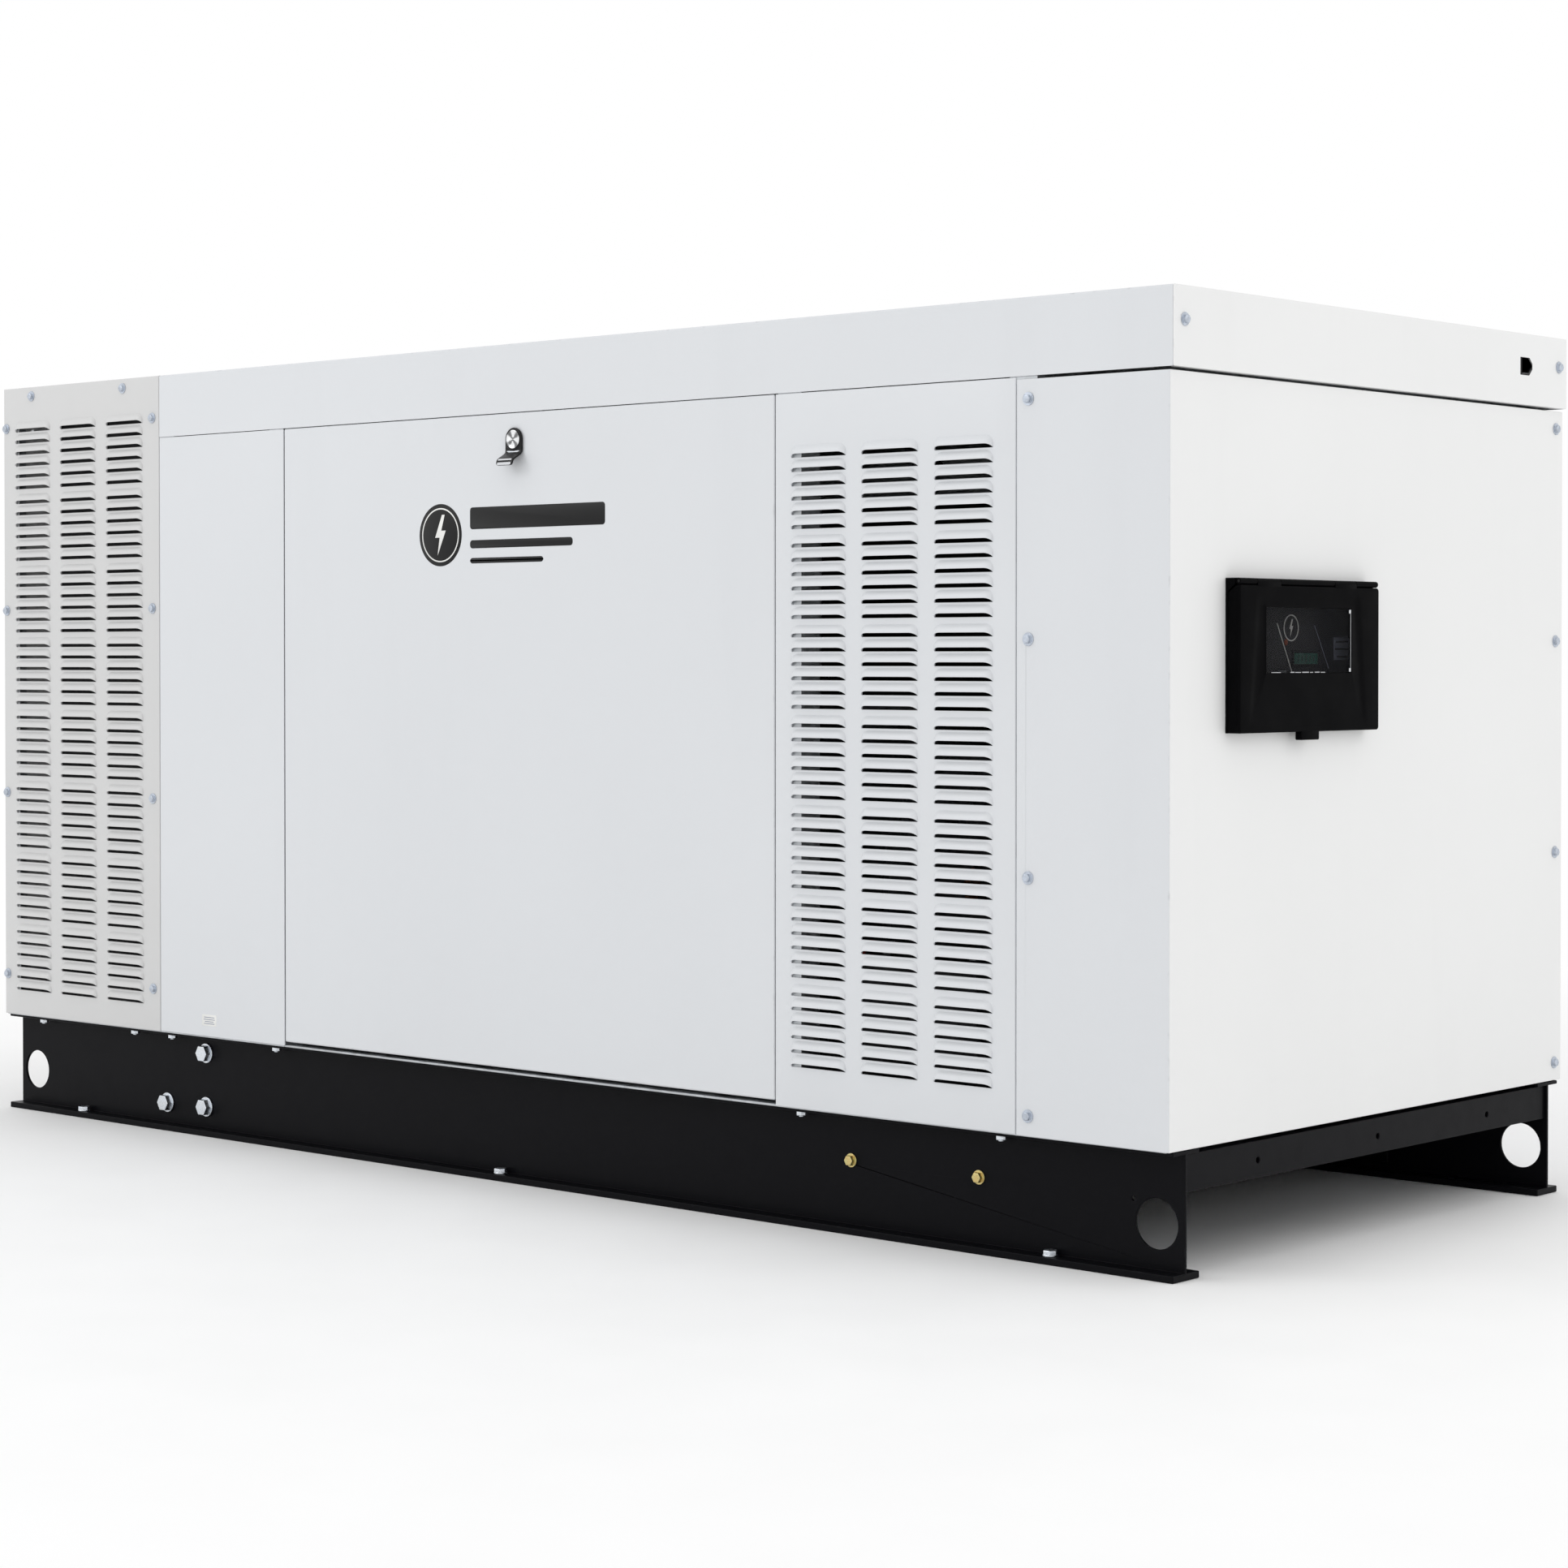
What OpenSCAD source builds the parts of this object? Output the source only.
// Home standby generator: a weather enclosure on a steel rail base, holding a four
// cylinder gas engine, an alternator, a radiator and a controller.
// Frame: X runs along the length, with the controller at +X. The front is at -Y.
// The origin is at the centre of the base, on the plane of its underside.

/* [Enclosure] */
// Length of the enclosure
body_len = 2408; // [2400:2:2440]
// Width of the enclosure
body_wid = 965; // [960:1:980]
// Height of the walls, from the top of the base to the roof
wall_h = 960; // [955:1:980]
// Height of the roof skirt
roof_h = 99.5; // [90:0.5:110]
// Thickness of the sheet steel
sheet = 2; // [1.6:0.2:2.2]

/* [Base] */
// Height of the rail base
base_h = 160; // [158:1:170]
// Thickness of the rail web
rail_web = 4.5; // [4:0.5:6]
// Thickness of the rail flanges
rail_flange_t = 5; // [4:0.5:6]
// Width of the rail flanges
rail_flange_w = 56; // [52:1:60]
// Diameter of the lifting holes in the rail webs
lift_hole_d = 63.5; // [50:0.5:70]
// Diameter of the anchor holes in the bottom flanges
anchor_hole_d = 14.3; // [12:0.1:16]

/* [Louvres] */
// Length of one louvre
louvre_len = 96; // [80:1:100]
// Distance between the louvre columns
louvre_col = 123.5; // [118:0.5:126]
// Distance between louvres in one group
louvre_pitch = 19.2; // [18:0.1:19.5]
// Extra distance between two groups
group_gap = 5.6; // [2:0.1:6]
// How far a louvre stands out of its sheet
louvre_out = 6; // [4:0.5:7]

/* [Engine and alternator] */
// Height of the crankshaft's axis
crank_z = 430; // [425:1:440]
// Radius of the alternator's rotor
rotor_r = 130; // [120:1:135]
// Gap between the rotor and the stator
air_gap = 1.2; // [0.8:0.1:2]
// Radius of the cooling fan
fan_r = 245; // [220:1:250]

/* [Hidden] */
$fn = 48;

// Outer faces
hx = body_len / 2;
hy = body_wid / 2;
z_eave = base_h + wall_h;
z_top = z_eave + roof_h;
inner_y = hy - sheet;
run_fit = 0.05;

// Seams between the panels along the long sides
seam = 2;
bay_x = -hx + 425;
door_x0 = -hx + 736.5;
door_x1 = hx - 647;
corner_x = hx - 236.5;
panel_z0 = base_h + 1;
panel_z1 = z_eave - 4;

// Base
strip_t = 4;
web_y = hy - 34;
flange_y = hy - 9;
lift_x = hx - 42.5;
lift_z = 65.7;
outer_bolt_y = hy - 22;
anchor_x = 1060;
anchor_y = (web_y - rail_web + flange_y - rail_flange_w) / 2;
cross_x = [-753, -420, 380, 900];
flange_bolt_x = [-1014, -4, 1006];
floor_bolt_x = [-1124, -874, -776, -514, 586, 927.5];
radiator_bolts = [[-703.5, 129], [-803.5, 41], [-703.5, 42.5]];
earth_bolt_x = [664.5, 882];
earth_bolt_z = 94.5;
flange_bolt_r = 5;
floor_bolt_r = 4;
radiator_bolt_r = 8;
earth_bolt_r = 4;
pan_t = 3;
deck_z = base_h + pan_t;
stub_x = [990, 1150];
stub_y = [-150, 250];

// Screw heights
wall_screw_z = [186.5, 487.5, 788.5, 1091];
bay_screw_z = [229, 537, 844.5, 1152];
bay_top_screws = [[-1125, z_top - 15.5], [-875, z_top - 15.5]];
bay_columns = [-hx + 8, bay_x - 18];
bay_side_holes = concat([for (x = bay_columns, z = bay_screw_z) [x, z]], bay_top_screws);
bay_end_y = inner_y - 14;
bay_end_holes = [for (y = [-bay_end_y, bay_end_y], z = bay_screw_z) [y, z]];
corner_screw_x = corner_x + 19.5;
end_screw_y = hy - 19;
cap_screw = [hy - 22, z_eave + 58];
screw_hole_r = 3.2;

// Roof
roof_x1 = hx + 3.8;
plug_y = hy - 114;
plug_z = z_eave + 54;

// Door and its latch
door_edge = 1;
door_z0 = base_h + 8.4;
door_z1 = z_eave - 0.8;
door_return = 18;
rib_x = [-250, 340];
rib_w = 50;
jamb_y = inner_y - 22.5;
post_z = z_eave + 1;
bulkhead_x = -778;
latch_x = 52;
latch_z = z_eave - 39.5;
key_stem_r = 4;
key_stem_y = -1.6;
handle_r = 17;
handle_y = [-3.2, -1.1];
key_disc_y = [-4.6, -3.5];

// Controller on the end wall
ctl_y = [-hy + 118.5, -hy + 440.5];
ctl_z = [base_h + 511, base_h + 704.5];
ctl_flange = 3.4;
lid_x0 = hx + ctl_flange + 0.4;
lid_x1 = hx + 22;
hinge_r = 4;
hinge_x = lid_x1 - hinge_r;
hinge_z = ctl_z[1] - hinge_r;
lid_z1 = hinge_z - hinge_r - 0.5;
lid_cut_x = hx + 15;
lid_cut_z = lid_z1 - 8.5;
lid_wall = 2.5;
pin_r = 2;
knuckle_y = [-hy + 120.5, -hy + 157.8, -hy + 210.5, -hy + 335, -hy + 386.5, -hy + 438.5];
knuckle_gap = 0.3;
window_y = [-hy + 179.5, -hy + 375.5];
window_z = [base_h + 586, base_h + 668.5];
tab_y = [-hy + 257, -hy + 298.5];
tub_y = [ctl_y[0] + 13, ctl_y[1] - 13];
tub_z = [ctl_z[0] + 13, ctl_z[1] - 13];
tub_x = hx - 64;
tub_wall = 2.5;
face_x = hx - 8;
display_y = [-197, -143];
display_z = [757, 771];

// Keys, as [centre y, centre z, half width, half height]
KEYS = [
    [-105, 716, 13, 8],
    [-167, 716, 13, 8],
    [-136, 716, 13, 8],
    [-250, 730, 8, 7],
    [-225, 742, 8, 7],
    [-225, 718, 8, 7],
    [-200, 730, 8, 7]
];

// Engine, along the crankshaft
block_x = [-520, -60];
block_y = 105;
block_z = [340, 640];
cyl_x = [for (i = [0 : 3]) block_x[0] + 68 + i * 108];
case_r = 76;
cyl_r = 43;
oil_cap_x = -180;
oil_cap_y = 30;
oil_neck_r = 16;
dip_x = -85;
dip_y = 122;
bell_x = [-60, 20];
stator_x = [20, 520];
core_x = [120, 400];
shaft_r = 30;
pulley_x = [-600, -580];
fan_z = 590;
crank_pulley_r = 75;
fan_pulley_r = 65;
charge_pulley_r = 35;
charge_y = -200;
charge_z = 560;
radiator_x = [-766, -730];
radiator_y = 330;
radiator_z = [230, 1010];
cap_x = -746;
cap_y = 200;
cap_neck_r = 15;
mount_x = [-420, 380];
mount_y = 220;
exhaust_y = -170;
exhaust_z = 1085;
muffler_x = -1000;
muffler_z = 860;
muffler_r = 115;
muffler_half = 300;

// Hoses, fuel inlet and breaker
hose_r = 17;
upper_hose = [60, 975];
lower_hose = [150, 265];
fuel_x = 1080;
fuel_z = 230;
lever_x = 810;
lever_y = 184;
lever_z = 530;

// --- Helpers ---

// A box between two corners
module block(a, b) {
    translate(a) cube(b - a);
}

// A flat sheet in the X-Z plane, from y0 to y0 + t
module sheet_xz(y0, t) {
    translate([0, y0 + t, 0]) rotate([90, 0, 0]) linear_extrude(t) children();
}

// A profile in the Y-Z plane, from x0 to x1
module along_x(x0, x1) {
    translate([x0, 0, 0]) rotate([90, 0, 90]) linear_extrude(x1 - x0) children();
}

module rect(a, b) {
    translate(a) square(b - a);
}

module rod_x(x0, x1, y, z, r) {
    translate([x0, y, z]) rotate([0, 90, 0]) cylinder(h = x1 - x0, r = r);
}

module rod_y(y0, y1, x, z, r) {
    translate([x, y1, z]) rotate([90, 0, 0]) cylinder(h = y1 - y0, r = r);
}

module rod_z(z0, z1, x, y, r) {
    translate([x, y, z0]) cylinder(h = z1 - z0, r = r);
}

module both_sides() {
    children();
    mirror([0, 1, 0]) children();
}

// A rod between two points
module rod(a, b, r) {
    d = b - a;
    l = norm(d);
    translate(a) rotate([0, acos(d[2] / l), atan2(d[1], d[0])]) cylinder(h = l, r = r);
}

// A pipe or hose through points, with a slightly fuller bend at each inner point
module pipe(points, r) {
    last = len(points) - 1;
    for (i = [0 : last - 1]) rod(points[i], points[i + 1], r);
    for (i = [1 : last - 1]) translate(points[i]) sphere(r * 1.1);
}

// A hex bolt along -Y with its washer, seated on the plane y = 0
module bolt(shank_r, shank_l, head_af, head_h, washer_r, washer_t) {
    rotate([90, 0, 0]) {
        translate([0, 0, -shank_l]) cylinder(h = shank_l + washer_t, r = shank_r);
        cylinder(h = washer_t, r = washer_r);
        translate([0, 0, washer_t]) cylinder(h = head_h, r = head_af / sqrt(3), $fn = 6);
    }
}

module panel_screw() {
    bolt(3, 8, 10, 4.2, 8.5, 1.4);
}

// --- Base ---

// Web between two flanges, with a sole strip welded under the lower one
module rail_section() {
    rect([-flange_y, 0], [-flange_y + rail_flange_w, strip_t + rail_flange_t]);
    rect([-web_y, strip_t], [-web_y + rail_web, base_h]);
    rect([-flange_y, base_h - rail_flange_t], [-flange_y + rail_flange_w, base_h]);
}

module rail() {
    difference() {
        along_x(-hx, hx) rail_section();
        for (s = [-1, 1]) {
            rod_y(-web_y - 1, -web_y + rail_web + 1, s * lift_x, lift_z, lift_hole_d / 2);
            rod_z(-1, 20, s * anchor_x, -anchor_y, anchor_hole_d / 2);
        }
        for (x = flange_bolt_x) rod_z(-1, 20, x, -outer_bolt_y, flange_bolt_r);
        for (x = floor_bolt_x) rod_z(base_h - 20, base_h + 1, x, -outer_bolt_y, floor_bolt_r);
        for (p = radiator_bolts) rod_y(-web_y - 1, -web_y + 9, p[0], p[1], radiator_bolt_r);
        for (x = earth_bolt_x) rod_y(-web_y - 1, -web_y + 9, x, earth_bolt_z, earth_bolt_r);
        rod_y(-web_y - 1, -web_y + 9, hx - 78, 93.5, 3);
    }
}

module base_rails() {
    color("#1e1e26") both_sides() rail();
}

// A channel across the ends of the base, with its back outwards
module end_channel() {
    y = web_y - rail_web;
    z0 = base_h - rail_flange_t - 47;
    z1 = base_h - rail_flange_t;
    difference() {
        union() {
            block([hx - 8, -y, z0], [hx - 4, y, z1]);
            block([hx - 44, -y, z0], [hx - 8, y, z0 + 4]);
            block([hx - 44, -y, z1 - 4], [hx - 8, y, z1]);
        }
        for (dy = [-283, 0, 283]) rod_x(hx - 9, hx - 3, dy, base_h - 30, 4);
    }
}

// A box channel between the webs, with a bolted cleat at each end
module engine_channel(x, half, cleat) {
    y = web_y - rail_web;
    difference() {
        union() {
            block([x - half, -y, 90], [x + half, y, 150]);
            for (s = [0, 1]) mirror([0, s, 0]) block([x - cleat, -y, 20], [x + cleat, -y + 6, 150]);
        }
        block([x - half + 4, -y + 6, 94], [x + half - 4, y - 6, 146]);
        both_sides() for (p = radiator_bolts) rod_y(-y - 1, -y + 7, p[0], p[1], radiator_bolt_r);
    }
}

module crossmembers() {
    color("#1c1c22") {
        for (s = [0, 1]) mirror([s, 0, 0]) end_channel();
        engine_channel(cross_x[0], 34, 72);
        for (i = [1 : 3]) engine_channel(cross_x[i], 40, 45);
    }
}

module floor_pan() {
    color("#8f9296") difference() {
        union() {
            block([-hx + 4, -inner_y + 0.5, base_h], [hx - 5, inner_y - 0.5, deck_z]);
            for (s = [0, 1]) mirror([0, s, 0]) {
                block([-hx + 4, -inner_y, base_h], [door_x0 - 4, -inner_y + sheet, deck_z + 22]);
                block([door_x1 + 4, -inner_y, base_h], [hx - 5, -inner_y + sheet, deck_z + 22]);
            }
        }
        block([stub_x[0], stub_y[0], base_h - 1], [stub_x[1], stub_y[1], deck_z + 1]);
        for (s = [-1, 1], x = floor_bolt_x) {
            rod_z(base_h - 1, deck_z + 1, x, s * outer_bolt_y, floor_bolt_r);
        }
        both_sides() rod_y(-hy, -hy + 9, corner_screw_x, wall_screw_z[0], screw_hole_r);
    }
}

// Bolts of the base: radiator cross member, bottom flange and floor
module base_bolts() {
    color("#c9ccd0") both_sides() {
        for (p = radiator_bolts) translate([p[0], -web_y, p[1]]) {
            bolt(radiator_bolt_r, 24, 24, 10, 16, 3);
            translate([0, rail_web + 6, 0]) rotate([-90, 0, 0]) cylinder(h = 12, r = 14, $fn = 6);
        }
        for (x = flange_bolt_x) translate([x, -outer_bolt_y, 0]) {
            translate([0, 0, 0.5]) cylinder(h = strip_t + rail_flange_t - 0.5, r = flange_bolt_r);
            translate([0, 0, strip_t + rail_flange_t]) cylinder(h = 2, r = 10);
            translate([0, 0, strip_t + rail_flange_t + 2]) cylinder(h = 6, r = 17 / sqrt(3), $fn = 6);
        }
        for (x = floor_bolt_x) translate([x, -outer_bolt_y, base_h]) {
            translate([0, 0, -rail_flange_t - 8]) cylinder(h = rail_flange_t + 8 + pan_t, r = floor_bolt_r);
            translate([0, 0, -rail_flange_t - 6.5]) cylinder(h = 6.5, r = 13 / sqrt(3), $fn = 6);
            translate([0, 0, pan_t]) cylinder(h = 5.5, r = 13 / sqrt(3), $fn = 6);
        }
    }
}

module earth_bolts() {
    color("#c9a24a") both_sides() for (x = earth_bolt_x) translate([x, -web_y, earth_bolt_z]) {
        bolt(earth_bolt_r, rail_web, 13, 6, 9.5, 2);
    }
}

// --- Panels ---

function row_z(first, i) = first - louvre_pitch * i - group_gap * floor(i / 6);

// The louvres of one field: columns centred on cx, rows down from the first one
module louvre_slots(cx, cols, first, rows) {
    for (c = [0 : cols - 1], i = [0 : rows - 1]) {
        x = cx + (c - (cols - 1) / 2) * louvre_col;
        translate([x - louvre_len / 2 + 4, row_z(first, i)]) square([louvre_len - 8, 10]);
    }
}

// Side section of the cowls, as (distance out of the sheet, height)
module cowl_section(first, rows) {
    out = louvre_out;
    for (i = [0 : rows - 1]) translate([0, row_z(first, i)]) {
        polygon([[0, 11], [0, 14], [-out, 6], [-out, 3.6], [-out + 1.8, 3.6]]);
    }
}

// A louvred sheet with its outer face on the plane y = -hy
module louvred_sheet(x0, x1, z0, z1, cols, first, rows, holes) {
    cx = (x0 + x1) / 2;
    sheet_xz(-hy, sheet) difference() {
        rect([x0, z0], [x1, z1]);
        louvre_slots(cx, cols, first, rows);
        for (p = holes) translate(p) circle(screw_hole_r);
    }
    for (c = [0 : cols - 1]) {
        x = cx + (c - (cols - 1) / 2) * louvre_col;
        along_x(x - louvre_len / 2, x + louvre_len / 2) translate([-hy, 0]) cowl_section(first, rows);
    }
}

module discharge_side_panels() {
    color("#dcdcda") both_sides() {
        louvred_sheet(-hx, bay_x - seam / 2, panel_z0, z_top, 3, z_eave + 28, 48, bay_side_holes);
    }
}

module discharge_end_panel() {
    first = z_eave + 28;
    color("#dcdcda") rotate([0, 0, -90]) translate([0, hy - hx, 0]) {
        louvred_sheet(-inner_y + 0.3, inner_y - 0.3, panel_z0, z_top - sheet, 6, first, 48,
            bay_end_holes);
    }
}

module discharge_top() {
    color("#e4e5e4") difference() {
        union() {
            block([-hx, -inner_y, z_top - sheet], [bay_x - seam / 2, inner_y, z_top]);
            both_sides() {
                block([-hx + 45, -inner_y, z_top - 32], [bay_x - 45, -inner_y + sheet, z_top - sheet]);
            }
        }
        both_sides() for (p = bay_top_screws) rod_y(-hy, -hy + 9, p[0], p[1], screw_hole_r);
    }
}

module plain_side_panels() {
    color("#e3e6ea") {
        both_sides() {
            sheet_xz(-hy, sheet) rect([bay_x + seam / 2, base_h + 2.5], [door_x0 - seam / 2, z_eave - 1]);
        }
        difference() {
            union() {
                sheet_xz(inner_y, sheet) rect([corner_x + seam / 2, panel_z0], [hx - sheet - 0.2, panel_z1]);
                block([hx - 2 * sheet - 0.2, inner_y - 40, panel_z0], [hx - sheet - 0.2, inner_y, panel_z1]);
            }
            for (z = wall_screw_z) {
                rod_y(inner_y - 9, hy + 1, corner_screw_x, z, screw_hole_r);
                rod_x(hx - 12, hx, end_screw_y, z, screw_hole_r);
            }
            rod_y(inner_y - 9, hy + 1, fuel_x, fuel_z, 25);
        }
    }
}

module intake_panels() {
    color("#e3e6ea") both_sides() {
        louvred_sheet(door_x1 + seam / 2, corner_x - seam / 2, panel_z0, z_eave - 1, 3,
            z_eave - 82.5, 42, []);
    }
}

module end_panel() {
    color("#eeeeea") difference() {
        union() {
            sheet_xz(-hy, sheet) rect([corner_x + seam / 2, panel_z0], [hx, panel_z1]);
            block([hx - sheet, -hy, panel_z0], [hx, hy, panel_z1]);
        }
        block([hx - 9, tub_y[0] - 0.5, tub_z[0] - 0.5], [hx + 1, tub_y[1] + 0.5, tub_z[1] + 0.5]);
        for (z = wall_screw_z) {
            rod_y(-hy - 1, -hy + 9, corner_screw_x, z, screw_hole_r);
            rod_x(hx - 9, hx + 1, end_screw_y, z, screw_hole_r);
        }
    }
}

module roof_panel() {
    color("#e3e6ea") {
        block([bay_x, -hy, z_top - sheet], [roof_x1, hy, z_top]);
        both_sides() block([bay_x, -hy, z_eave], [roof_x1, -inner_y, z_top - sheet]);
    }
}

module plug_outline(grow) {
    w = 16 + grow;
    h = 12 + grow;
    polygon([[-w, -h], [w - 8, -h], [w, -h + 8], [w, h - 8], [w - 8, h], [-w, h]]);
}

// Upright end of the roof, with a black plug in its knock-out
module roof_end_cap() {
    x0 = roof_x1 + 0.2;
    color("#eeeeea") difference() {
        union() {
            block([x0, -hy, z_eave], [x0 + sheet, hy, z_top]);
            block([x0 - 12, -hy + 12, z_eave], [x0, hy - 12, z_eave + sheet]);
        }
        along_x(x0 - 1, x0 + sheet + 1) translate([plug_y, plug_z]) plug_outline(0);
        for (s = [-1, 1]) rod_x(x0 - 1, x0 + 9, s * cap_screw[0], cap_screw[1], screw_hole_r);
    }
    color("#101012") {
        along_x(x0 - 4, x0 + sheet + 1) translate([plug_y, plug_z]) difference() {
            plug_outline(-0.1);
            plug_outline(-3);
        }
        along_x(x0 - 7, x0 - 4) translate([plug_y, plug_z]) plug_outline(-0.1);
    }
}

// A channel post behind a seam, open inwards
module post(x0, x1, z1) {
    y = -inner_y;
    block([x0, y, deck_z + 22.2], [x1, y + sheet, z1]);
    block([x0, y + sheet, deck_z], [x0 + sheet, y + 38, z1]);
    block([x1 - sheet, y + sheet, deck_z], [x1, y + 38, z1]);
}

// A post with the strip that the door's seal closes against
module door_post(x0, x1, jamb_x0, jamb_x1) {
    post(x0, x1, post_z);
    block([jamb_x0, -jamb_y, deck_z], [jamb_x1, -jamb_y + sheet, post_z]);
}

// Posts, door headers and eave rails of one side, each a separate piece
module frame_side() {
    post(bay_x - 22, bay_x + 35.7, z_top - 4);
    door_post(door_x0 - 37, door_x0 - 4, door_x0 - 4, door_x0 + 12);
    door_post(door_x1 + 4, door_x1 + 46, door_x1 - 12, door_x1 + 4);
    post(corner_x - 12, corner_x + 32, post_z);
    block([door_x0 + 12.3, -jamb_y, z_eave - 22], [door_x1 - 12.3, -jamb_y + sheet, post_z]);
    block([bay_x + 36, -inner_y, post_z + 0.3], [hx - 46, -inner_y + 30, post_z + 2.3]);
    block([bay_x + 36, -inner_y, post_z + 2.3], [hx - 46, -inner_y + sheet, z_eave + 40]);
    block([-hx + sheet, -inner_y, deck_z + 22.2], [-hx + 40, -inner_y + sheet, z_top - 4]);
    block([-hx + sheet, -inner_y + sheet, deck_z], [-hx + 2 * sheet, -inner_y + 40, z_top - 4]);
}

// Inner frame of both sides and the bulkhead around the radiator
module inner_frame() {
    color("#b9bcbf") difference() {
        union() {
            both_sides() frame_side();
            bulkhead(bulkhead_x);
        }
        both_sides() {
            for (p = bay_side_holes) rod_y(-hy, -hy + 9, p[0], p[1], screw_hole_r);
            for (z = wall_screw_z) rod_y(-hy, -hy + 9, corner_screw_x, z, screw_hole_r);
            for (z = bay_screw_z) rod_x(-hx, -hx + 12, bay_end_y, z, screw_hole_r);
        }
    }
}

// A sheet wall with a window for the radiator and a hole for the exhaust pipe
module bulkhead(x) {
    along_x(x, x + sheet) difference() {
        rect([-inner_y + 39, deck_z], [inner_y - 39, z_top - 6]);
        rect([-radiator_y + 12, radiator_z[0] + 75], [radiator_y - 12, radiator_z[1] - 75]);
        translate([exhaust_y, exhaust_z]) circle(36);
    }
}

// A door: a shallow tray of sheet steel, with a hole for its latch
module door() {
    x0 = door_x0 + door_edge;
    x1 = door_x1 - door_edge;
    y = -inner_y;
    difference() {
        union() {
            block([x0, -hy, door_z0], [x1, y, door_z1]);
            block([x0, y, door_z0], [x0 + sheet, y + door_return, door_z1]);
            block([x1 - sheet, y, door_z0], [x1, y + door_return, door_z1]);
            block([x0, y, door_z0], [x1, y + door_return, door_z0 + sheet]);
            block([x0, y, door_z1 - sheet], [x1, y + door_return, door_z1]);
            for (x = rib_x) block([x, y, door_z0 + 60], [x + rib_w, y + 12, door_z1 - 60]);
        }
        for (x = rib_x) {
            block([x + sheet, y, door_z0 + 59], [x + rib_w - sheet, y + 10, door_z1 - 59]);
        }
        rod_y(-hy - 1, y + 1, latch_x, latch_z, 11.2);
    }
}

module front_door() {
    color("#e3e6ea") door();
}

module rear_door() {
    color("#e3e6ea") mirror([0, 1, 0]) door();
}

module door_seals() {
    y = -jamb_y;
    color("#222224") both_sides() {
        block([door_x0 + 1, y - 3.8, door_z0 + 30], [door_x0 + 11, y, door_z1 - 18]);
        block([door_x1 - 11, y - 3.8, door_z0 + 30], [door_x1 - 1, y, door_z1 - 18]);
        block([door_x0 + 1, y - 3.8, door_z1 - 18], [door_x1 - 1, y, door_z1 - 4]);
    }
}

module panel_screws() {
    color("#d0d3d6") {
        both_sides() {
            for (p = bay_side_holes) translate([p[0], -hy, p[1]]) panel_screw();
            for (z = wall_screw_z) translate([corner_screw_x, -hy, z]) panel_screw();
        }
        for (z = wall_screw_z) translate([hx, end_screw_y, z]) rotate([0, 0, 90]) panel_screw();
        for (s = [-1, 1]) {
            translate([roof_x1 + 0.2 + sheet, s * cap_screw[0], cap_screw[1]]) {
                rotate([0, 0, 90]) panel_screw();
            }
        }
        for (p = bay_end_holes) translate([-hx, p[0], p[1]]) rotate([0, 0, -90]) panel_screw();
    }
}

// --- Door latch, with its axis along Y at the origin and the door face at y = 0 ---

// Puts a latch in the front door, or in the rear door when rear is 1
module at_latch(rear) {
    mirror([0, rear, 0]) translate([latch_x, -hy, latch_z]) children();
}

module latch_body() {
    difference() {
        union() {
            rod_y(-0.8, 0, 0, 0, 15.5);
            rod_y(0, 20, 0, 0, 11);
            translate([0, 8, 0]) rotate([90, 0, 0]) cylinder(h = 6, r = 16, $fn = 6);
        }
        rod_y(-1, 21, 0, 0, 6 + run_fit);
    }
}

// Handle: a disc, a lever that slopes out of the door, a spindle and the pawl
module latch_handle() {
    lever = [[handle_y[1], 0], [handle_y[0], 0], [handle_y[0], -17], [-5.6, -20.5], [-19.5, -28.5],
        [-23, -33], [-24, -38.5], [-20.5, -39], [-19, -34.5], [-16.5, -31], [-4, -23.5], [handle_y[1], -20]];
    difference() {
        union() {
            rod_y(handle_y[0], handle_y[1], 0, 0, handle_r);
            rod_y(handle_y[1], 32, 0, 0, 6);
            along_x(-handle_r, handle_r) polygon(lever);
            block([-38, 27, -10], [8, 30, 10]);
        }
        rod_y(handle_y[0] - 1, key_stem_y + 0.1, 0, 0, key_stem_r + run_fit);
    }
}

// Lock disc with a short stem in the handle
module key_plug() {
    difference() {
        union() {
            rod_y(key_disc_y[0], key_disc_y[1], 0, 0, 13.5);
            rod_y(key_disc_y[1], key_stem_y, 0, 0, key_stem_r);
        }
        block([-0.9, key_disc_y[0] - 1, -4], [0.9, key_disc_y[1] + 0.6, 4]);
    }
}

module front_latch_body() {
    color("#18181a") at_latch(0) latch_body();
}

module front_latch_handle() {
    color("#202022") at_latch(0) latch_handle();
}

module front_key_plug() {
    color("#d8dadd") at_latch(0) key_plug();
}

module rear_latch_body() {
    color("#18181a") at_latch(1) latch_body();
}

module rear_latch_handle() {
    color("#202022") at_latch(1) latch_handle();
}

module rear_key_plug() {
    color("#d8dadd") at_latch(1) key_plug();
}

// --- Controller ---

// One of the five hinge knuckles, numbered from the -Y end, joined to a block down to z
module knuckle(i, x0, x1, z0, z1) {
    y0 = knuckle_y[i] + knuckle_gap;
    y1 = knuckle_y[i + 1] - knuckle_gap;
    rod_y(y0, y1, hinge_x, hinge_z, hinge_r);
    block([x0, y0, z0], [x1, y1, z1]);
}

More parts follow.
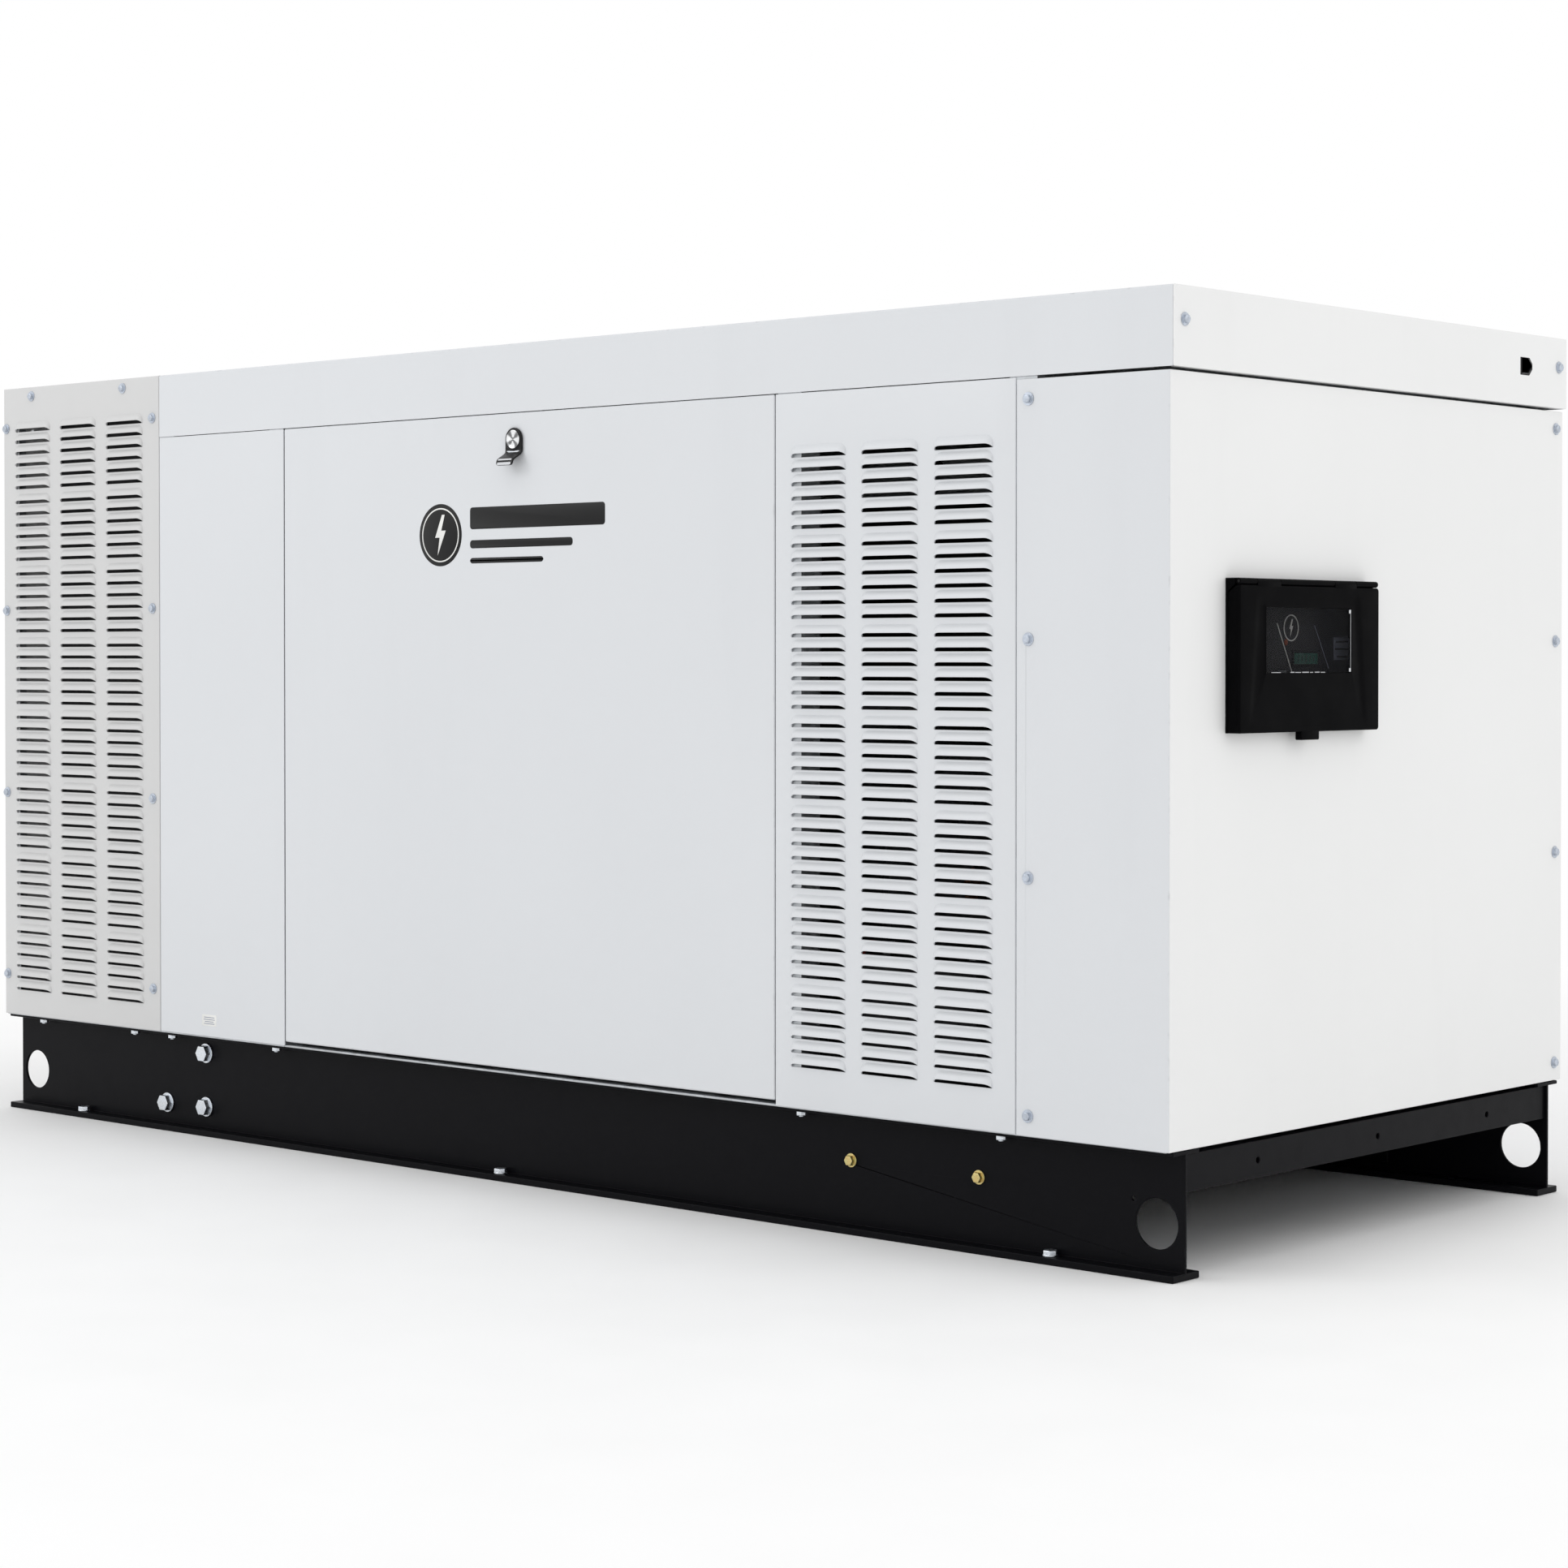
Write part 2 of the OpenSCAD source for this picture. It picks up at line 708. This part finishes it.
// Frame on the wall, tub behind it, and the ledge with cheeks that carries the lid hinge
module control_box() {
    ledge_x = hinge_x - hinge_r - 0.5;
    ledge_z = ctl_z[1] - ctl_flange;
    cheek = [[hx, ctl_z[1]], [ledge_x, ctl_z[1]], [ledge_x, lid_z1 + 1], [lid_x0, lid_cut_z + 1.4],
        [hx, lid_cut_z + 1.4]];
    color("#141416") difference() {
        union() {
            block([hx, ctl_y[0], ctl_z[0]], [hx + ctl_flange, ctl_y[1], ctl_z[1]]);
            block([hx, ctl_y[0], ledge_z], [ledge_x, ctl_y[1], ctl_z[1]]);
            block([tub_x, tub_y[0], tub_z[0]], [hx, tub_y[1], tub_z[1]]);
            for (y = [ctl_y[0], ctl_y[1] - 3]) sheet_xz(y, 3) polygon(cheek);
            for (i = [0, 2, 4]) knuckle(i, ledge_x - 1, hinge_x, ledge_z, ctl_z[1]);
        }
        block([tub_x + tub_wall, tub_y[0] + tub_wall, tub_z[0] + tub_wall],
            [hx + ctl_flange + 1, tub_y[1] - tub_wall, tub_z[1] - tub_wall]);
        rod_y(ctl_y[0], ctl_y[1], hinge_x, hinge_z, pin_r);
    }
}

// Side outline of the lid, with its top back corner cut away
module lid_outline() {
    polygon([[lid_x0, ctl_z[0]], [lid_x1, ctl_z[0]], [lid_x1, lid_z1], [lid_cut_x, lid_z1],
        [lid_x0, lid_cut_z]]);
}

// Outline of the space inside the lid
module lid_space() {
    x1 = lid_x1 - lid_wall;
    polygon([[lid_x0 - 1, ctl_z[0] + 3], [x1, ctl_z[0] + 3], [x1, lid_z1 - 3], [lid_cut_x - 1, lid_z1 - 3],
        [lid_x0 - 1, lid_cut_z - 4.6]]);
}

// Lid: a shallow tray with a window, a thumb tab and two hinge knuckles
module control_lid() {
    color("#161618") difference() {
        union() {
            difference() {
                sheet_xz(ctl_y[0], ctl_y[1] - ctl_y[0]) lid_outline();
                sheet_xz(ctl_y[0] + 3, ctl_y[1] - ctl_y[0] - 6) lid_space();
                block([lid_x0, window_y[0], window_z[0]], [lid_x1 + 1, window_y[1], window_z[1]]);
            }
            block([lid_x1 - 10, tab_y[0], ctl_z[0] - 10.5], [lid_x1, tab_y[1], ctl_z[0] + 1]);
            for (i = [1, 3]) knuckle(i, hinge_x - 1, lid_x1, lid_z1 - 2.5, hinge_z);
        }
        rod_y(ctl_y[0], ctl_y[1], hinge_x, hinge_z, pin_r + run_fit);
    }
}

// Clear pane behind the lid's face
module lid_window() {
    x1 = lid_x1 - lid_wall;
    color("#3a4048", 0.5) {
        block([x1 - 2.2, window_y[0] - 7, window_z[0] - 7], [x1, window_y[1] + 7, window_z[1] + 7]);
    }
}

module lid_hinge_pin() {
    color("#8a8d90") rod_y(knuckle_y[0], knuckle_y[5], hinge_x, hinge_z, pin_r);
}

// Shell behind the fascia, with a pocket for each key, and its display
module controller_body() {
    g = 0.35;
    wall = 3;
    y0 = tub_y[0] + 6;
    y1 = tub_y[1] - 6;
    z0 = tub_z[0] + 6;
    z1 = tub_z[1] - 6;
    color("#1b1b1e") difference() {
        union() {
            block([tub_x + 8, y0, z0], [face_x, y1, z1]);
            for (y = [y0 + 10, y1 - 22], z = [z0 + 10, z1 - 22]) {
                block([tub_x + tub_wall, y, z], [tub_x + 8, y + 12, z + 12]);
            }
        }
        block([tub_x + 8 + wall, y0 + wall, z0 + wall], [face_x - wall, y1 - wall, z1 - wall]);
        for (k = KEYS) {
            block([face_x - 9, k[0] - k[2] - g, k[1] - k[3] - g],
                [face_x + 1, k[0] + k[2] + g, k[1] + k[3] + g]);
        }
        block([face_x - 1.8, display_y[0] - g, display_z[0] - g],
            [face_x + 1, display_y[1] + g, display_z[1] + g]);
    }
    color("#5d7a62") {
        block([face_x - 1.5, display_y[0], display_z[0]], [face_x + 0.3, display_y[1], display_z[1]]);
    }
}

// A key with a wider foot inside the controller
module key(k) {
    block([face_x - 8, k[0] - k[2], k[1] - k[3]], [face_x + 2, k[0] + k[2], k[1] + k[3]]);
    block([face_x - 8, k[0] - k[2] - 1.5, k[1] - k[3] - 1.5],
        [face_x - 3.8, k[0] + k[2] + 1.5, k[1] + k[3] + 1.5]);
}

module key_auto() {
    color("#3c8a4a") key(KEYS[0]);
}

module key_off() {
    color("#b23a34") key(KEYS[1]);
}

module key_manual() {
    color("#3d62a8") key(KEYS[2]);
}

module key_escape() {
    color("#55585c") key(KEYS[3]);
}

module key_up() {
    color("#55585c") key(KEYS[4]);
}

module key_down() {
    color("#55585c") key(KEYS[5]);
}

module key_enter() {
    color("#55585c") key(KEYS[6]);
}

// --- Engine ---

module engine_block() {
    color("#3b3f44") difference() {
        union() {
            block([block_x[0], -block_y, block_z[0]], [block_x[1], block_y, block_z[1]]);
            block([block_x[0] - 22, -80, block_z[0] + 10], [block_x[0], 80, block_z[1] - 20]);
            rod_x(bell_x[0], bell_x[1], 0, crank_z, 185);
            for (z = [400, 470, 540], s = [-1, 1]) {
                block([block_x[0] + 12, s > 0 ? block_y : -block_y - 6, z],
                    [block_x[1] - 12, s > 0 ? block_y + 6 : -block_y, z + 10]);
            }
            rod_x(block_x[0] - 60, block_x[0], 0, fan_z, 26);
            rod_x(block_x[0] - 38, block_x[0], 0, fan_z, 48);
        }
        rod_x(block_x[0] + 16, block_x[1] - 16, 0, crank_z, case_r);
        rod_x(block_x[0] - 30, bell_x[1] + 1, 0, crank_z, shaft_r + run_fit);
        rod_x(bell_x[0] + 8, bell_x[1] + 1, 0, crank_z, 172);
        for (x = cyl_x) rod_z(crank_z, block_z[1] + 1, x, 0, cyl_r);
        rod_x(block_x[0] - 61, block_x[0] - 14, 0, fan_z, 10 + run_fit);
    }
}

// Cylinder head and rocker cover
module cylinder_head() {
    z = block_z[1];
    color("#8d9196") {
        block([block_x[0] + 2, -100, z], [block_x[1] - 2, 100, z + 78]);
        rod_x(block_x[0] - 30, block_x[0] + 2, 60, z + 40, 24);
    }
    color("#26282b") difference() {
        union() {
            block([block_x[0] + 14, -84, z + 78], [block_x[1] - 14, 84, z + 88]);
            block([block_x[0] + 22, -76, z + 88], [block_x[1] - 22, 76, z + 140]);
            for (i = [0 : 6]) {
                block([block_x[0] + 40 + i * 60, -60, z + 140], [block_x[0] + 48 + i * 60, 60, z + 144]);
            }
            rod_z(z + 140, z + 152, oil_cap_x, oil_cap_y, 22);
        }
        block([block_x[0] + 26, -72, z + 77], [block_x[1] - 26, 72, z + 136]);
        rod_z(z + 130, z + 153, oil_cap_x, oil_cap_y, oil_neck_r + run_fit);
    }
}

module oil_cap() {
    z = block_z[1] + 152;
    color("#1c1c1e") {
        rod_z(z - 14, z + 0.4, oil_cap_x, oil_cap_y, oil_neck_r);
        rod_z(z + 0.4, z + 14, oil_cap_x, oil_cap_y, 25);
        block([oil_cap_x - 24, oil_cap_y - 4, z + 14], [oil_cap_x + 24, oil_cap_y + 4, z + 26]);
    }
}

module oil_pan() {
    z = block_z[0];
    color("#2b2d30") difference() {
        union() {
            block([block_x[0] + 4, -block_y, z - 8], [block_x[1] - 4, block_y, z]);
            block([block_x[0] + 12, -96, z - 110], [block_x[1] - 12, 96, z - 8]);
            rod_z(z - 60, z + 310, dip_x, dip_y, 6);
            block([dip_x - 6, 94, z - 60], [dip_x + 6, dip_y, z - 40]);
        }
        block([block_x[0] + 15, -93, z - 107], [block_x[1] - 15, 93, z + 1]);
        rod_z(z - 40, z + 311, dip_x, dip_y, 3.6);
    }
}

module dipstick() {
    z = block_z[0] + 310;
    color("#d8a92c") {
        rod_z(z - 340, z + 0.5, dip_x, dip_y, 2);
        rod_z(z + 0.5, z + 12, dip_x, dip_y, 7);
        translate([dip_x, dip_y, z + 26]) rotate([90, 0, 0]) {
            rotate_extrude() translate([14, 0]) circle(3);
        }
    }
}

// Intake manifold, throttle body and the air cleaner's can
module air_cleaner() {
    z = block_z[1];
    color("#7f8388") {
        block([block_x[0] + 40, 128, z + 20], [block_x[1] - 60, 178, z + 66]);
        for (x = cyl_x) rod_y(100, 128, x, z + 42, 19);
        rod_z(z + 66, z + 170, -300, 153, 30);
    }
    color("#232427") {
        rod_z(z + 170, z + 290, -300, 153, 140);
        rod_z(z + 290, z + 302, -300, 153, 128);
        rod_z(z + 302, z + 318, -300, 153, 12);
        rod_y(285, 345, -300, z + 230, 42);
    }
}

// Exhaust manifold, riser pipe and the muffler in the discharge bay
module exhaust_system() {
    z = block_z[1] + 42;
    riser_x = -470;
    color("#6d4a3a") {
        for (x = cyl_x) rod_y(exhaust_y + 10, -100, x, z, 20);
        rod_x(riser_x - 34, block_x[1] - 30, exhaust_y, z, 32);
    }
    color("#8c8f92") difference() {
        pipe([[riser_x, exhaust_y, z + 20], [riser_x, exhaust_y, exhaust_z],
            [muffler_x, exhaust_y, exhaust_z], [muffler_x, exhaust_y, muffler_z + 60]], 26);
        rod_x(riser_x - 34, block_x[1] - 30, exhaust_y, z, 32);
        rod_y(-muffler_half, muffler_half, muffler_x, muffler_z, muffler_r);
    }
    color("#9a9da0") {
        rod_y(-muffler_half, muffler_half, muffler_x, muffler_z, muffler_r);
        rod_y(-muffler_half - 6, -muffler_half, muffler_x, muffler_z, muffler_r - 10);
        rod_y(muffler_half, muffler_half + 6, muffler_x, muffler_z, muffler_r - 10);
    }
    color("#9a9da0") difference() {
        pipe([[muffler_x, 180, muffler_z], [muffler_x - 165, 180, muffler_z]], 28);
        pipe([[muffler_x - 140, 180, muffler_z], [muffler_x - 170, 180, muffler_z]], 25);
        rod_y(-muffler_half, muffler_half, muffler_x, muffler_z, muffler_r);
    }
    color("#6f7275") for (s = [-1, 1]) {
        block([muffler_x - 20, s * 220 - 12, deck_z], [muffler_x + 20, s * 220 + 12, muffler_z - 113.2]);
    }
}

// Crankshaft with its front pulley, throws and flywheel
module crankshaft() {
    throw = 40;
    color("#a7aaad") {
        difference() {
            rod_x(pulley_x[0], pulley_x[1], 0, crank_z, crank_pulley_r);
            for (a = [0 : 72 : 288]) {
                translate([0, 45 * cos(a), 45 * sin(a)]) {
                    rod_x(pulley_x[0] - 1, pulley_x[1] + 1, 0, crank_z, 13);
                }
            }
        }
        rod_x(pulley_x[1], cyl_x[0] - 32, 0, crank_z, shaft_r);
        for (i = [0 : 3]) {
            up = (i == 0 || i == 3) ? 1 : -1;
            rod_x(cyl_x[i] - 32, cyl_x[i] - 18, 0, crank_z, 68);
            rod_x(cyl_x[i] + 18, cyl_x[i] + 32, 0, crank_z, 68);
            rod_x(cyl_x[i] - 18, cyl_x[i] + 18, 0, crank_z + up * throw, 24);
            if (i < 3) rod_x(cyl_x[i] + 32, cyl_x[i + 1] - 32, 0, crank_z, shaft_r);
        }
        rod_x(cyl_x[3] + 32, bell_x[1] - 40, 0, crank_z, shaft_r);
        rod_x(bell_x[1] - 60, bell_x[1] - 30, 0, crank_z, 160);
        rod_x(bell_x[0] + 18, bell_x[0] + 30, 0, crank_z, 165);
    }
}

module alternator_rotor() {
    color("#b0703c") {
        rod_x(bell_x[1] - 30, stator_x[1] - 16, 0, crank_z, shaft_r);
        rod_x(core_x[0], core_x[1], 0, crank_z, rotor_r);
        rod_x(core_x[0] - 34, core_x[0], 0, crank_z, 88);
        rod_x(core_x[1], core_x[1] + 34, 0, crank_z, 88);
    }
}

module stator_foot() {
    along_x(mount_x[1] - 30, mount_x[1] + 30) difference() {
        polygon([[120, 300], [188, 213], [250, 213], [250, 226], [214, 226], [172, 350]]);
        translate([0, crank_z]) circle(196);
    }
}

module alternator_stator() {
    color("#44484d") difference() {
        union() {
            rod_x(stator_x[0], stator_x[1], 0, crank_z, 200);
            rod_x(stator_x[0], stator_x[0] + 14, 0, crank_z, 206);
            rod_x(stator_x[1] - 24, stator_x[1] - 10, 0, crank_z, 206);
            block([180, -95, crank_z + 190], [360, 95, crank_z + 270]);
            both_sides() stator_foot();
        }
        rod_x(stator_x[0] - 1, stator_x[0] + 60, 0, crank_z, 190);
        rod_x(core_x[0] - 60, core_x[1] + 60, 0, crank_z, rotor_r + air_gap);
        rod_x(core_x[0] - 50, core_x[0] - 10, 0, crank_z, 188);
        rod_x(core_x[1] + 10, stator_x[1] - 30, 0, crank_z, 188);
        rod_x(stator_x[0], stator_x[1] + 1, 0, crank_z, shaft_r + run_fit);
        block([186, -89, crank_z + 204], [354, 89, crank_z + 264]);
        for (a = [0 : 30 : 330]) translate([0, 110 * cos(a), 110 * sin(a)]) {
            rod_x(stator_x[1] - 40, stator_x[1] + 1, 0, crank_z, 14);
        }
    }
}

// Starter motor on the bell housing and the spin-on oil filter
module starter_and_filter() {
    color("#2e3034") {
        rod_x(-230, -72, -152, 445, 38);
        rod_x(-72, -60.2, -152, 445, 30);
        rod_x(-190, -100, -152, 495, 17);
    }
    color("#d9d9d6") {
        rod_y(-200, -111.2, -350, 400, 40);
    }
}

module engine_mounts() {
    color("#1d1d1f") for (x = mount_x, s = [-1, 1]) {
        rod_z(deck_z, 213, x, s * mount_y, 36);
    }
    color("#3b3f44") both_sides() along_x(mount_x[0] - 30, mount_x[0] + 30) {
        polygon([[111.2, 440], [111.2, 360], [180, 213], [250, 213], [250, 226], [205, 226]]);
    }
}

// Core between two tanks, with feet and a filler neck
module radiator() {
    x0 = radiator_x[0];
    x1 = radiator_x[1];
    z0 = radiator_z[0];
    z1 = radiator_z[1];
    color("#9b9fa3") {
        block([x0, -radiator_y + 12, z0 + 70], [x1, radiator_y - 12, z1 - 70]);
        both_sides() block([x0 - 6, -radiator_y, deck_z], [x1 + 6, -radiator_y + 12, z1 - 70]);
    }
    color("#26282b") difference() {
        union() {
            block([x0 - 6, -radiator_y, z1 - 70], [x1 + 6, radiator_y, z1]);
            block([x0 - 6, -radiator_y + 12, z0], [x1 + 6, radiator_y - 12, z0 + 70]);
            rod_z(z1, z1 + 18, cap_x, cap_y, 20);
        }
        rod_z(z1 - 40, z1 + 19, cap_x, cap_y, cap_neck_r + run_fit);
    }
}

module radiator_cap() {
    z = radiator_z[1] + 18;
    color("#b9bcc0") {
        rod_z(z - 20, z + 0.4, cap_x, cap_y, cap_neck_r);
        rod_z(z + 0.4, z + 8, cap_x, cap_y, 24);
        block([cap_x - 4, cap_y - 27, z + 2], [cap_x + 4, cap_y + 27, z + 7]);
    }
}

// Hoses between the radiator's tanks and the engine, each with a clamp at both ends
module coolant_hoses() {
    tank_x = radiator_x[1] + 6.2;
    head_x = block_x[0] - 30.2;
    head_z = block_z[1] + 40;
    block_side = block_y + 0.2;
    inlet = [-490, 600];
    far_y = lower_hose[0] + 15;
    color("#17171a") {
        pipe([[tank_x, upper_hose[0], upper_hose[1]], [-630, upper_hose[0], upper_hose[1]],
            [-588, upper_hose[0], 745], [-574, upper_hose[0], head_z],
            [head_x, upper_hose[0], head_z]], hose_r);
        pipe([[tank_x, lower_hose[0], lower_hose[1]], [-640, lower_hose[0], lower_hose[1]],
            [inlet[0], far_y, 400], [inlet[0], far_y, inlet[1]], [inlet[0], block_side, inlet[1]]], hose_r);
    }
    color("#b4b7ba") {
        for (h = [upper_hose, lower_hose]) rod_x(tank_x + 6, tank_x + 18, h[0], h[1], hose_r + 1.5);
        rod_x(head_x - 14, head_x - 4, upper_hose[0], head_z, hose_r + 1.5);
        rod_y(block_side + 6, block_side + 18, inlet[0], inlet[1], hose_r + 1.5);
    }
}

// A plate in front of the core, with a ring round the fan
module fan_shroud() {
    x0 = radiator_x[1] + 6;
    r = fan_r + 8;
    color("#1f2022") difference() {
        union() {
            block([x0, -radiator_y + 4, radiator_z[0] + 72], [x0 + 10, radiator_y - 4, radiator_z[1] - 72]);
            rod_x(x0, x0 + 84, 0, fan_z, r + 3);
        }
        rod_x(x0 - 1, x0 + 85, 0, fan_z, r);
        for (y = [-290, 290], z = [340, 900]) rod_x(x0 - 1, x0 + 11, y, z, 5);
    }
}

module fan_blade(x) {
    translate([x, 0, 0]) rotate([0, 0, 32]) block([-2, -40, 40], [2, 40, fan_r - 8]);
}

// Fan, hub, pulley and the water pump's shaft
module cooling_fan() {
    x = -665;
    color("#27282b") translate([0, 0, fan_z]) {
        for (a = [0 : 60 : 300]) rotate([a, 0, 0]) fan_blade(x);
        rod_x(x - 26, x + 28, 0, 0, 52);
    }
    color("#a7aaad") {
        rod_x(x + 28, pulley_x[0], 0, fan_z, 24);
        rod_x(pulley_x[0], pulley_x[1], 0, fan_z, fan_pulley_r);
        rod_x(pulley_x[1], block_x[0] - 16, 0, fan_z, 10);
    }
}

module charge_alternator() {
    color("#9a9da1") difference() {
        union() {
            rod_x(-568, -450, charge_y, charge_z, 58);
            rod_x(-574, -568, charge_y, charge_z, 44);
            block([-540, charge_y + 40, charge_z - 12], [-510, -block_y - 6.2, charge_z + 12]);
        }
        rod_x(-575, -500, charge_y, charge_z, 9 + run_fit);
    }
}

module charge_pulley() {
    color("#b4b7ba") {
        rod_x(pulley_x[0], pulley_x[1], charge_y, charge_z, charge_pulley_r);
        rod_x(pulley_x[1], -505, charge_y, charge_z, 9);
    }
}

// Line round the three pulleys, grown by g
module belt_line(g) {
    hull() {
        translate([0, crank_z]) circle(crank_pulley_r + g);
        translate([0, fan_z]) circle(fan_pulley_r + g);
        translate([charge_y, charge_z]) circle(charge_pulley_r + g);
    }
}

module drive_belt() {
    color("#151517") along_x(pulley_x[0] + 2, pulley_x[1] - 2) difference() {
        belt_line(6);
        belt_line(0.8);
    }
}

// Inlet coupling, pipe, shut-off and regulator, then the hose to the mixer
module fuel_line() {
    y = 423;
    reg_z = fuel_z + 20;
    color("#b98b3c") difference() {
        rod_y(y - 23, hy + 12, fuel_x, fuel_z, 21);
        rod_y(y + 17, hy + 13, fuel_x, fuel_z, 12);
    }
    color("#3f3f42") {
        rod_x(600, fuel_x - 19, y, fuel_z, 14);
        block([540, y - 60, fuel_z - 30], [600, y + 16, fuel_z + 60]);
        rod_x(480, 540, y - 45, reg_z, 58);
        block([470, y - 65, deck_z], [560, y - 25, fuel_z - 30]);
        pipe([[480, y - 45, reg_z], [430, y - 45, reg_z], [430, 300, 620], [-200, 300, 760],
            [-262, 175, 760]], 16);
    }
}

// Case, posts, tray and hold-down strap
module battery() {
    x0 = 650;
    y0 = -425;
    color("#1b1c1f") {
        block([x0, y0, deck_z + 12], [x0 + 208, y0 + 173, deck_z + 190]);
        block([x0 + 4, y0 + 4, deck_z + 190], [x0 + 204, y0 + 169, deck_z + 204]);
    }
    color("#a9abad") for (dx = [30, 178]) rod_z(deck_z + 204, deck_z + 222, x0 + dx, y0 + 34, 9);
    color("#5c5f63") {
        block([x0 - 14, y0 - 14, deck_z], [x0 + 222, y0 + 187, deck_z + 12]);
        block([x0 - 14, y0 + 80, deck_z + 204], [x0 + 222, y0 + 104, deck_z + 208]);
        for (x = [x0 - 14, x0 + 218]) block([x, y0 + 80, deck_z + 12], [x + 4, y0 + 104, deck_z + 204]);
    }
}

// Cabinet with the main breaker on its front
module breaker_box() {
    color("#a9adb0") difference() {
        block([690, 230, deck_z], [930, 400, 700]);
        block([693, 233, deck_z + 3], [927, 397, 697]);
    }
    color("#202124") difference() {
        block([750, 168, 440], [870, 230, 620]);
        block([lever_x - 17, 167, lever_z - 18], [lever_x + 17, lever_y + 14, lever_z + 18]);
    }
}

// Toggle of the main breaker, shown switched off
module breaker_lever() {
    color("#3a3b3e") translate([lever_x, lever_y, lever_z]) rotate([20, 0, 0]) {
        rod_x(-15, 15, 0, 0, 11);
        block([-15, -44, -5], [15, 0, 5]);
    }
}

base_rails();
crossmembers();
floor_pan();
base_bolts();
earth_bolts();
roof_panel();
roof_end_cap();
discharge_top();
discharge_side_panels();
discharge_end_panel();
plain_side_panels();
intake_panels();
end_panel();
inner_frame();
front_door();
rear_door();
door_seals();
panel_screws();
front_latch_body();
front_latch_handle();
front_key_plug();
rear_latch_body();
rear_latch_handle();
rear_key_plug();
control_box();
control_lid();
lid_window();
lid_hinge_pin();
controller_body();
key_auto();
key_off();
key_manual();
key_escape();
key_up();
key_down();
key_enter();
engine_block();
cylinder_head();
oil_pan();
oil_cap();
dipstick();
air_cleaner();
exhaust_system();
crankshaft();
alternator_rotor();
alternator_stator();
starter_and_filter();
engine_mounts();
radiator();
radiator_cap();
coolant_hoses();
fan_shroud();
cooling_fan();
charge_alternator();
charge_pulley();
drive_belt();
fuel_line();
battery();
breaker_box();
breaker_lever();
